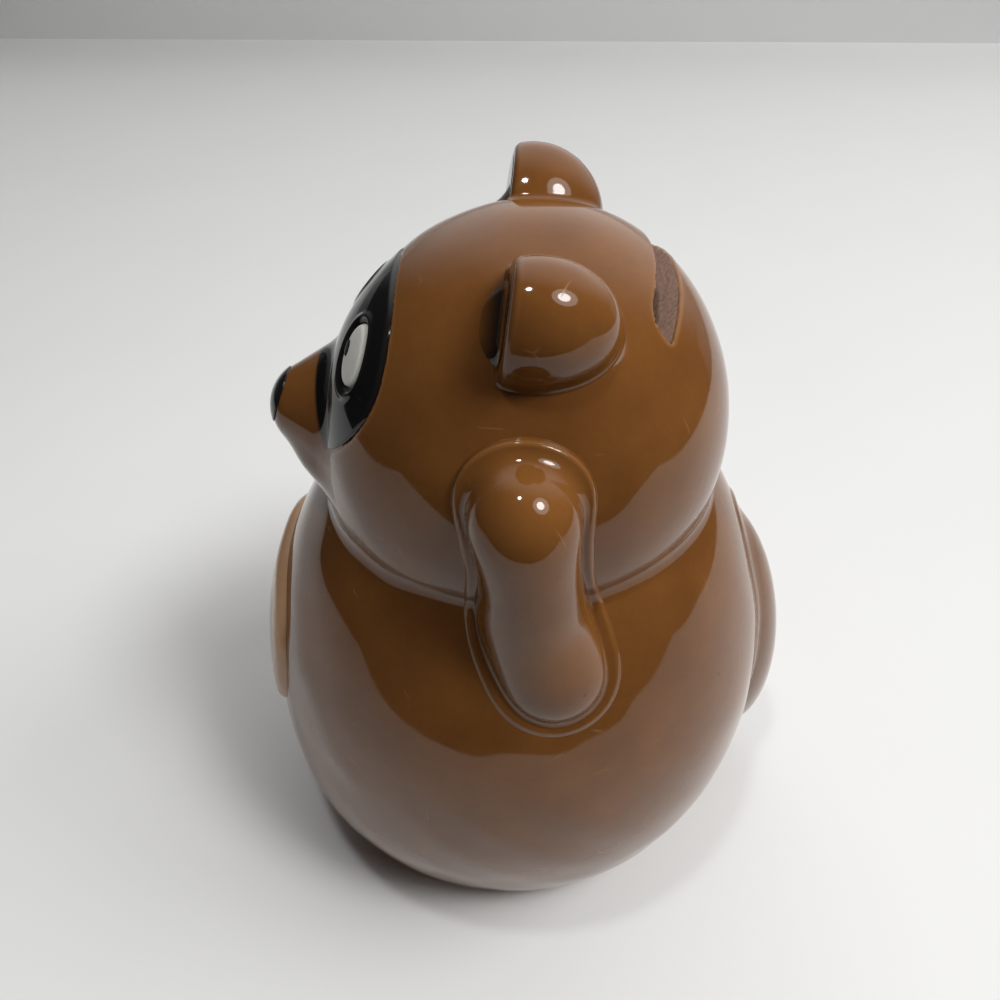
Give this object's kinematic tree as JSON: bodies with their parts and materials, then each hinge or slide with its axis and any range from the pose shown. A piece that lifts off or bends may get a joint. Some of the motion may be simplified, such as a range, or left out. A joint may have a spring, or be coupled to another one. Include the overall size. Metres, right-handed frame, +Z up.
{
  "type": "tanuki coin bank",
  "caption": "Seated tanuki figure in brown glazed pottery: hollow body and head with a coin slot behind the ears, raised arms, tail, and a pull-out stopper in the base.",
  "frame": {"origin": "on the table, under the middle of the figure's bounding box", "axes": "+Z up, the face looks along -Y, the figure's left side is +X"},
  "size_m": [0.1114, 0.1224, 0.1486],
  "materials": {
    "brown_glaze": "glossy warm brown glaze over pale clay, bare clay at the foot ring and inside the coin slot",
    "black_glaze": "glossy black glaze",
    "white_glaze": "glossy off-white glaze",
    "tan_glaze": "glossy tan glaze",
    "stopper_rubber": "soft matt black rubber"
  },
  "bodies": {
    "bank": {"body_shell": "brown_glaze", "head_shell": "brown_glaze", "muzzle": "brown_glaze", "nose_tip": "black_glaze", "belly_panel": "tan_glaze", "tail": "brown_glaze", "left_ear": "brown_glaze", "right_ear": "brown_glaze", "left_ear_lining": "black_glaze", "right_ear_lining": "black_glaze", "left_eye_patch": "black_glaze", "right_eye_patch": "black_glaze", "left_eye": "white_glaze", "right_eye": "white_glaze", "left_pupil": "black_glaze", "right_pupil": "black_glaze", "left_arm": "brown_glaze", "right_arm": "brown_glaze"},
    "stopper": {"base_stopper": "stopper_rubber"}
  },
  "joints": [
    {"name": "stopper_pull", "type": "slide", "parent": "bank", "child": "stopper", "axis": [0, 0, -1], "range_m": [0, 0.02]}
  ]
}
